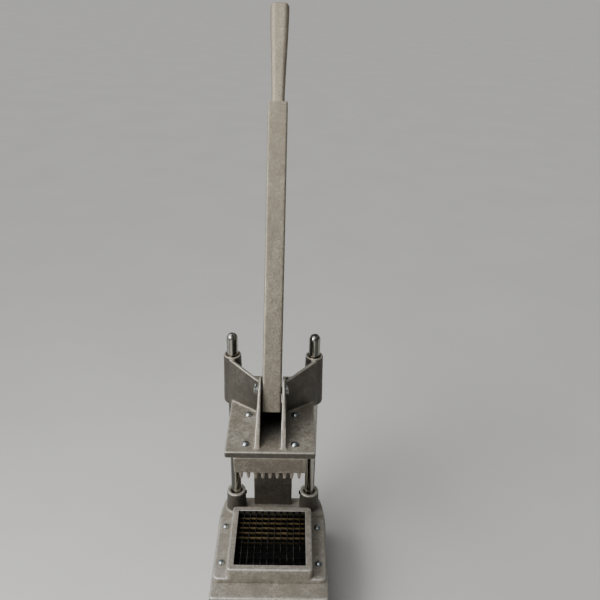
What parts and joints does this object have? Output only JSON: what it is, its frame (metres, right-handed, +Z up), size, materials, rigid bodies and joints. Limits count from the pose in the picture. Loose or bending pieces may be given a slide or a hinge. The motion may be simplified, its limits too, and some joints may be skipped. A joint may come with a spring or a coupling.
{
  "type": "lever-operated vegetable dicer",
  "caption": "Countertop dicer: a lever drives a guided pusher head with blunt fingers down two rods through a square grid of thin blades.",
  "frame": {"origin": "on the table under the centre of the square cutting opening", "axes": "+X to the operator's right, +Y away from the operator, +Z up; the lever leans back at rest"},
  "size_m": [0.1716, 0.4344, 0.8045],
  "materials": {
    "cast_aluminium": "rough grey-brown casting",
    "lever_aluminium": "tumbled casting",
    "bracket_casting": "dark rough casting",
    "stainless_blades": "thin ground strip",
    "polished_steel": "polished",
    "screw_steel": "zinc plated",
    "dark_steel": "black oxide",
    "bronze_bush": "sintered bronze",
    "foot_rubber": "matt rubber"
  },
  "bodies": {
    "frame": {"base": "cast_aluminium", "blade_frame": "cast_aluminium", "blade_ring": "stainless_blades", "lengthwise_blades": "stainless_blades", "crosswise_blades": "stainless_blades", "frame_screws": "screw_steel", "guide_rod_left": "polished_steel", "guide_rod_right": "polished_steel", "rod_set_screws": "dark_steel", "foot_front_left": "foot_rubber", "foot_front_right": "foot_rubber", "foot_rear_left": "foot_rubber", "foot_rear_right": "foot_rubber", "foot_screws": "screw_steel", "rear_bracket": "bracket_casting", "bracket_bolts": "screw_steel"},
    "head": {"head_carriage": "cast_aluminium", "guide_bush_lower_left": "bronze_bush", "guide_bush_lower_right": "bronze_bush", "guide_bush_upper_left": "bronze_bush", "guide_bush_upper_right": "bronze_bush", "pusher_block": "cast_aluminium", "pusher_screws": "screw_steel", "pivot_pin": "polished_steel", "pivot_washers": "screw_steel", "pivot_cotter": "screw_steel"},
    "lever": {"lever": "lever_aluminium", "lever_bush": "bronze_bush", "handle_grip": "lever_aluminium", "grip_pin": "screw_steel", "tail_pin": "polished_steel", "tail_washers": "screw_steel", "tail_spacers": "bronze_bush", "tail_cotters": "screw_steel"}
  },
  "joints": [
    {"name": "head_slide", "type": "slide", "parent": "frame", "child": "head", "axis": [0, 0, -1], "range_m": [0, 0.17]},
    {"name": "lever_swing", "type": "hinge", "parent": "head", "child": "lever", "pos_m": [0, 0.03, 0.343], "axis": [1, 0, 0], "range_deg": [0, 100]}
  ],
  "couplings": [
    {"joint": "lever_swing", "follows": "head_slide", "rad_per_m": 10.26}
  ]
}
